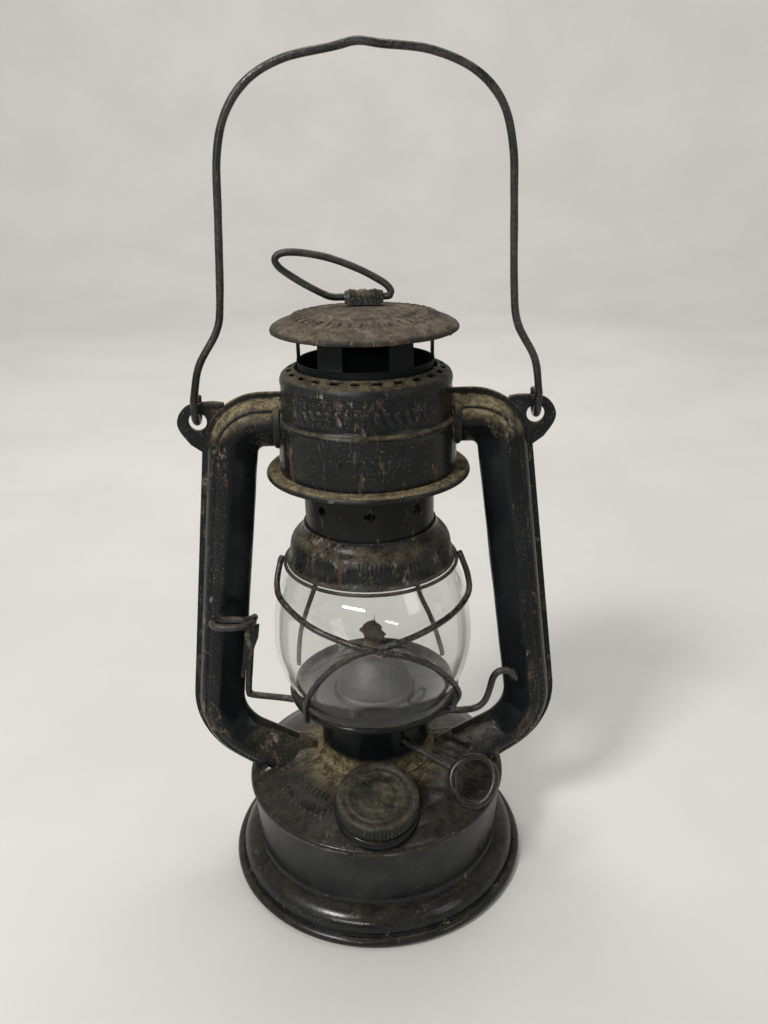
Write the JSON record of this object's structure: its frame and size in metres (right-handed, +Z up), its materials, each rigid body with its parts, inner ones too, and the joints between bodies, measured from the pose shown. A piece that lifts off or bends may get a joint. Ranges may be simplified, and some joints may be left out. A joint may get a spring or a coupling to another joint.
{
  "type": "hanging lantern",
  "caption": "Tubular hurricane oil lantern: tank with wick burner, bulged glass globe, hollow air tubes each side, sliding vented chimney and a wire carrying bail.",
  "frame": {"origin": "on the ground at the middle of the foot, below the lantern's own centre line", "axes": "+Z up the centre line, +X across the side tubes towards the lift wire's pivot, -Y towards the filler cap"},
  "size_m": [0.153, 0.128, 0.3256],
  "materials": {
    "enamel": "worn black enamel on steel sheet, chipped and rust specked",
    "dusty_enamel": "black enamel under a dull coat of dust and grime",
    "zinc": "dull galvanised steel",
    "zinc_dark": "dull galvanised steel, tarnished",
    "wire": "dark steel wire, lightly rusted",
    "soot": "black enamel dulled by heat and soot",
    "glass": "clear blown glass, slightly grey",
    "wick": "woven cotton, charred brown",
    "rubber": "flat black sealing washer"
  },
  "bodies": {
    "frame": {"tank_shell": "enamel", "tank_bottom": "enamel", "tank_top": "enamel", "chamber_floor": "zinc", "filler_neck": "enamel", "side_tube_left": "enamel", "side_tube_right": "enamel", "tube_collar_left": "enamel", "tube_collar_right": "enamel", "ear_left": "enamel", "ear_right": "enamel", "drum_shell": "enamel", "drum_lid": "enamel", "draft_ring": "dusty_enamel", "air_collar": "enamel", "burner_base": "zinc", "burner_gallery": "zinc", "burner_cone": "zinc", "wick_tube": "zinc", "lift_keeper": "wire"},
    "bail": {"bail": "wire"},
    "globe_carrier": {"globe_plate": "zinc_dark", "globe": "glass", "guard_ring": "wire", "guard_wire_left": "wire", "guard_wire_right": "wire", "guard_post_left": "wire", "guard_post_right": "wire"},
    "lift_wire": {"lift_wire": "wire"},
    "chimney": {"chimney_tube": "soot", "bell": "soot", "cap": "dusty_enamel", "cap_strap": "enamel"},
    "cap_ring": {"cap_ring": "wire"},
    "winder": {"wick_wheel": "zinc", "wick_shaft": "wire", "wick_loop": "enamel"},
    "wick": {"wick": "wick"},
    "filler_seal": {"filler_washer": "rubber"},
    "filler_cap": {"filler_cap": "dusty_enamel"}
  },
  "joints": [
    {"name": "bail_swing", "type": "hinge", "parent": "frame", "child": "bail", "pos_m": [0, 0, 0.2034], "axis": [1, 0, 0], "range_deg": [-125, 125]},
    {"name": "globe_lift", "type": "slide", "parent": "frame", "child": "globe_carrier", "axis": [0, 0, 1], "range_m": [0, 0.008]},
    {"name": "lift_wire_turn", "type": "hinge", "parent": "frame", "child": "lift_wire", "pos_m": [0.0586, -0.01, 0.0885], "axis": [0, 1, 0], "range_deg": [0, 5]},
    {"name": "chimney_lift", "type": "slide", "parent": "globe_carrier", "child": "chimney", "axis": [0, 0, 1], "range_m": [0, 0.012]},
    {"name": "cap_ring_swing", "type": "hinge", "parent": "chimney", "child": "cap_ring", "pos_m": [0, 0.004, 0.2429], "axis": [1, 0, 0], "range_deg": [-85, 85]},
    {"name": "winder_turn", "type": "hinge", "parent": "frame", "child": "winder", "pos_m": [-0.00389, -0.00389, 0.0655], "axis": [0.7071, -0.7071, 0], "range_deg": [-114.6, 57.3]},
    {"name": "wick_feed", "type": "slide", "parent": "frame", "child": "wick", "axis": [0, 0, 1], "range_m": [-0.00801, 0.00401]},
    {"name": "filler_rise", "type": "slide", "parent": "frame", "child": "filler_seal", "axis": [0, -0.2419, 0.9703], "range_m": [0, 0.004]},
    {"name": "filler_turn", "type": "hinge", "parent": "filler_seal", "child": "filler_cap", "pos_m": [0, -0.0418, 0.0576], "axis": [0, -0.2419, 0.9703], "range_deg": [0, 720]}
  ],
  "couplings": [
    {"joint": "lift_wire_turn", "follows": "globe_lift", "rad_per_m": 10.75},
    {"joint": "wick_feed", "follows": "winder_turn", "m_per_rad": 0.004},
    {"joint": "filler_rise", "follows": "filler_turn", "m_per_rad": 0.00031831}
  ]
}
